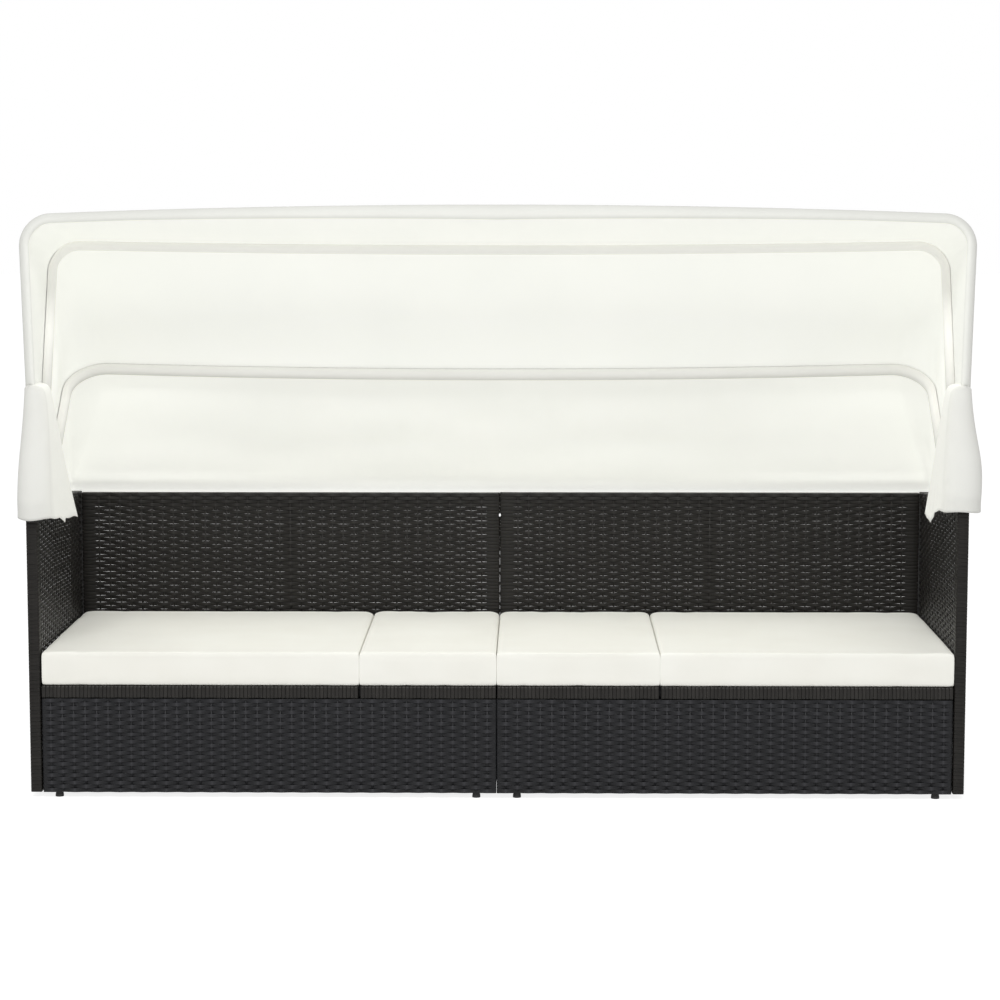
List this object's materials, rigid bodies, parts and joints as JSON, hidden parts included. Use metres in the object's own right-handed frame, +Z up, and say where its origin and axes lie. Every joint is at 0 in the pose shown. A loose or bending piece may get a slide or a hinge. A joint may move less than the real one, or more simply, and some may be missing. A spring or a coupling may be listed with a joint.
{
  "type": "outdoor daybed with folding canopy",
  "caption": "Long woven garden daybed with full-height arms, boxed cushions on boards whose outer ends tilt up as backrests, and a cloth hood on hoops that fold back about one line",
  "frame": {"origin": "on the floor, under the middle of the whole daybed", "axes": "+X along the bench to the right as seen from the front, +Y from the front to the back, +Z up"},
  "size_m": [2.037, 0.6126, 1.2462],
  "materials": {
    "woven_resin": "woven flat strands of black resin wicker, low sheen",
    "coated_steel": "black powder coat",
    "zinc_steel": "zinc plated",
    "foot_plastic": "moulded black plastic",
    "cushion_fabric": "cream polyester cover over foam",
    "canopy_fabric": "cream woven polyester, slightly see-through"
  },
  "bodies": {
    "bench": {"base_frame_left": "coated_steel", "base_frame_right": "coated_steel", "front_weave_left": "woven_resin", "front_weave_right": "woven_resin", "rear_weave_left": "woven_resin", "rear_weave_right": "woven_resin", "foot_left_front_inner": "foot_plastic", "foot_left_rear_inner": "foot_plastic", "foot_left_front_outer": "foot_plastic", "foot_left_rear_outer": "foot_plastic", "foot_right_front_inner": "foot_plastic", "foot_right_rear_inner": "foot_plastic", "foot_right_front_outer": "foot_plastic", "foot_right_rear_outer": "foot_plastic", "arm_frame_left": "coated_steel", "arm_weave_left": "woven_resin", "arm_frame_right": "coated_steel", "arm_weave_right": "woven_resin", "back_frame_left": "coated_steel", "back_weave_left": "woven_resin", "back_frame_right": "coated_steel", "back_weave_right": "woven_resin", "arm_bolt_left_front": "zinc_steel", "arm_bolt_left_rear": "zinc_steel", "arm_bolt_right_front": "zinc_steel", "arm_bolt_right_rear": "zinc_steel", "join_bolt_front": "zinc_steel", "join_bolt_rear": "zinc_steel", "board_frame_seat_left": "coated_steel", "board_weave_seat_left": "woven_resin", "hinge_leaf_fixed_left": "zinc_steel", "hinge_rod_left": "zinc_steel", "cushion_seat_left": "cushion_fabric", "board_frame_seat_right": "coated_steel", "board_weave_seat_right": "woven_resin", "hinge_leaf_fixed_right": "zinc_steel", "hinge_rod_right": "zinc_steel", "cushion_seat_right": "cushion_fabric", "pivot_bracket_left": "coated_steel", "pivot_bolt_left": "zinc_steel", "pivot_bracket_right": "coated_steel", "pivot_bolt_right": "zinc_steel", "canopy_boot_left": "canopy_fabric", "canopy_boot_right": "canopy_fabric"},
    "backrest_left": {"board_frame_backrest_left": "coated_steel", "board_weave_backrest_left": "woven_resin", "hinge_leaf_moving_left": "zinc_steel", "cushion_backrest_left": "cushion_fabric"},
    "stay_left": {"support_stay_left": "coated_steel"},
    "backrest_right": {"board_frame_backrest_right": "coated_steel", "board_weave_backrest_right": "woven_resin", "hinge_leaf_moving_right": "zinc_steel", "cushion_backrest_right": "cushion_fabric"},
    "stay_right": {"support_stay_right": "coated_steel"},
    "back_bow": {"back_hoop": "coated_steel", "canopy_rear_panel": "canopy_fabric"},
    "middle_bow": {"middle_hoop": "coated_steel", "canopy_middle_panel": "canopy_fabric"},
    "front_bow": {"front_hoop": "coated_steel", "canopy_front_panel": "canopy_fabric"}
  },
  "joints": [
    {"name": "backrest_left_tilt", "type": "hinge", "parent": "bench", "child": "backrest_left", "pos_m": [-0.289, 0, 0.2402], "axis": [0, 1, 0], "range_deg": [0, 28], "deforming": ["cushion_seat_left"]},
    {"name": "stay_left_swing", "type": "hinge", "parent": "backrest_left", "child": "stay_left", "pos_m": [-0.569, 0, 0.2262], "axis": [0, 1, 0], "range_deg": [-56, 0]},
    {"name": "backrest_right_tilt", "type": "hinge", "parent": "bench", "child": "backrest_right", "pos_m": [0.3436, 0, 0.2402], "axis": [0, -1, 0], "range_deg": [0, 28], "deforming": ["cushion_seat_right"]},
    {"name": "stay_right_swing", "type": "hinge", "parent": "backrest_right", "child": "stay_right", "pos_m": [0.6236, 0, 0.2262], "axis": [0, -1, 0], "range_deg": [-56, 0]},
    {"name": "back_bow_fold", "type": "hinge", "parent": "bench", "child": "back_bow", "pos_m": [0, -0.18775, 0.6394], "axis": [-1, 0, 0], "range_deg": [0, 36], "deforming": ["canopy_rear_panel", "canopy_boot_left", "canopy_boot_right"]},
    {"name": "middle_bow_fold", "type": "hinge", "parent": "back_bow", "child": "middle_bow", "pos_m": [0, -0.18775, 0.6394], "axis": [-1, 0, 0], "range_deg": [0, 29], "deforming": ["canopy_middle_panel"]},
    {"name": "front_bow_fold", "type": "hinge", "parent": "middle_bow", "child": "front_bow", "pos_m": [0, -0.18775, 0.6394], "axis": [-1, 0, 0], "range_deg": [0, 24], "deforming": ["canopy_front_panel"]}
  ],
  "couplings": [
    {"joint": "stay_left_swing", "follows": "backrest_left_tilt", "ratio": -2},
    {"joint": "stay_right_swing", "follows": "backrest_right_tilt", "ratio": -2}
  ]
}
